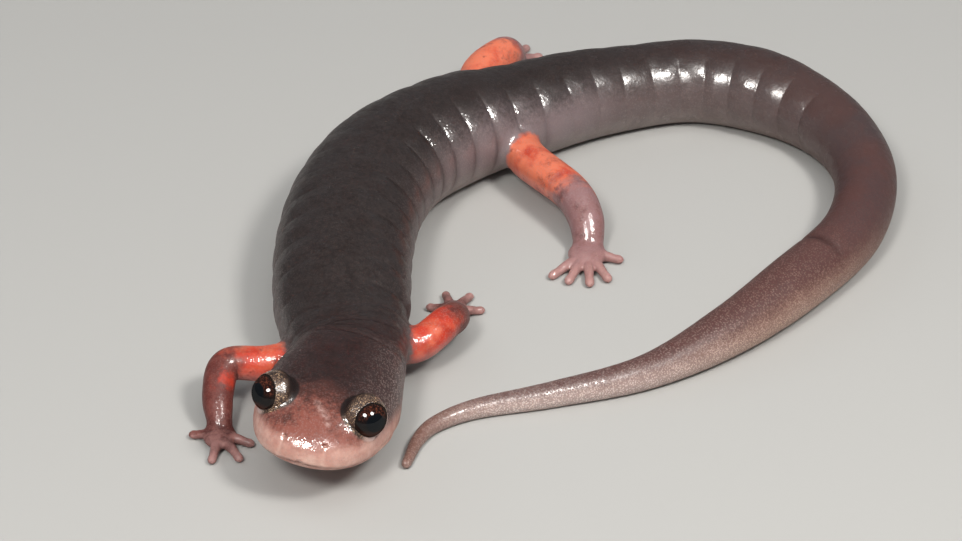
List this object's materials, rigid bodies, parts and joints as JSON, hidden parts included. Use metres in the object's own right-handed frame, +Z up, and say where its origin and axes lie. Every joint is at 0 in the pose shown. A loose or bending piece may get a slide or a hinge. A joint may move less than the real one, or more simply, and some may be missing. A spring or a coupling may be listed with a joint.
{
  "type": "red-legged salamander",
  "caption": "Life-size still model of a slender red-legged woodland salamander, lying with its long tail curled round beside it.",
  "frame": {"origin": "on the floor under the middle of the whole footprint", "axes": "+Z up, -Y towards the side that the head faces, +X towards the curled tail"},
  "size_m": [0.0476, 0.059, 0.0077],
  "materials": {
    "back": "wet, glossy grey-black skin with pale stippling on the flanks",
    "head": "wet skin, black behind and red-brown before the eyes, with a pale pink lip",
    "tail": "wet skin, grey-black above at the base and paler mauve grey to the tip",
    "red": "wet, orange-red skin with a few dark specks",
    "foot": "wet purple-grey skin, paler on the toes",
    "eye": "polished near-black eye with a red-brown gleam in the upper iris"
  },
  "bodies": {
    "root": {"neck": "back", "chest": "back", "trunk_front": "back", "trunk_middle": "back", "trunk_rear": "back", "pelvis": "back", "head": "head", "tail_base": "tail", "tail_upper": "tail", "tail_bend": "tail", "tail_middle": "tail", "tail_lower": "tail", "tail_end": "tail", "tail_tip": "tail", "fore_left_upper": "red", "fore_right_upper": "red", "hind_left_upper": "red", "hind_right_upper": "red", "fore_left_lower": "foot", "fore_left_foot": "foot", "fore_right_lower": "foot", "fore_right_foot": "foot", "hind_left_lower": "foot", "hind_left_foot": "foot", "hind_right_lower": "foot", "hind_right_foot": "foot", "eye_left": "eye", "eye_right": "eye"}
  },
  "joints": []
}
